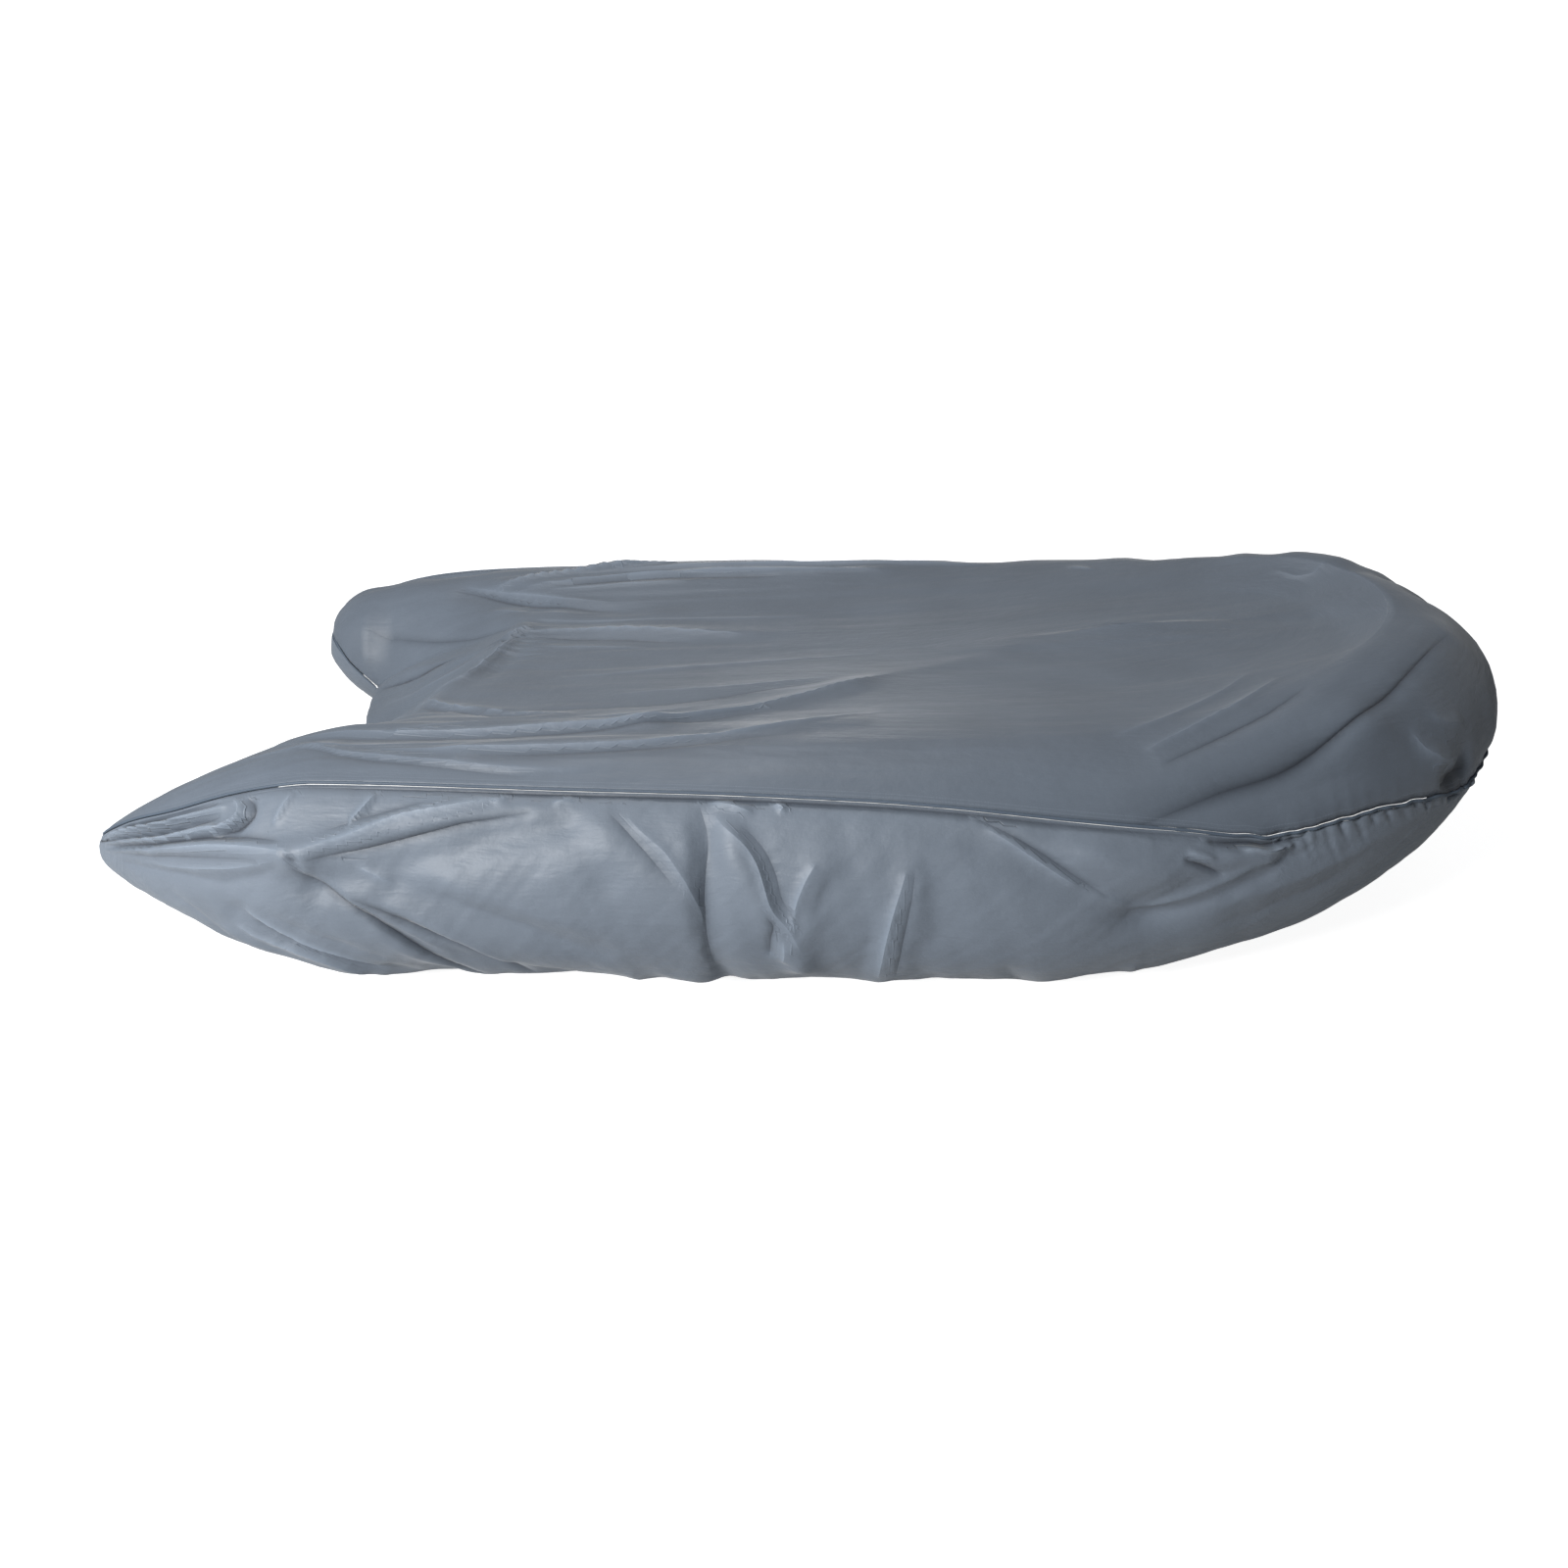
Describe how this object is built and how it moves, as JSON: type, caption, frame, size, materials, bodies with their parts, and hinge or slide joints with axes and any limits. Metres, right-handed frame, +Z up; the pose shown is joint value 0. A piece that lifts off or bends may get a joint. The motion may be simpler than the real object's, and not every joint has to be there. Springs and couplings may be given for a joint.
{
  "type": "boat cover",
  "caption": "Fitted cloth cover for a small inflatable boat, with a raised bow, side bands, corded seams and two stern tongues.",
  "frame": {"origin": "underside of the deck cloth on the middle line, where the top panel would rest on the boat, 1.36 m forward of the stern line", "axes": "+X to the bow, +Y to the far side (port), +Z up"},
  "size_m": [2.7957, 1.5996, 0.5556],
  "materials": {
    "top_cloth": "satin coated weave",
    "band_cloth": "satin coated weave",
    "welt_cloth": "satin"
  },
  "bodies": {
    "root": {"top_panel": "top_cloth", "side_band_near": "band_cloth", "side_band_far": "band_cloth", "welt_near": "welt_cloth", "welt_far": "welt_cloth"}
  },
  "joints": []
}
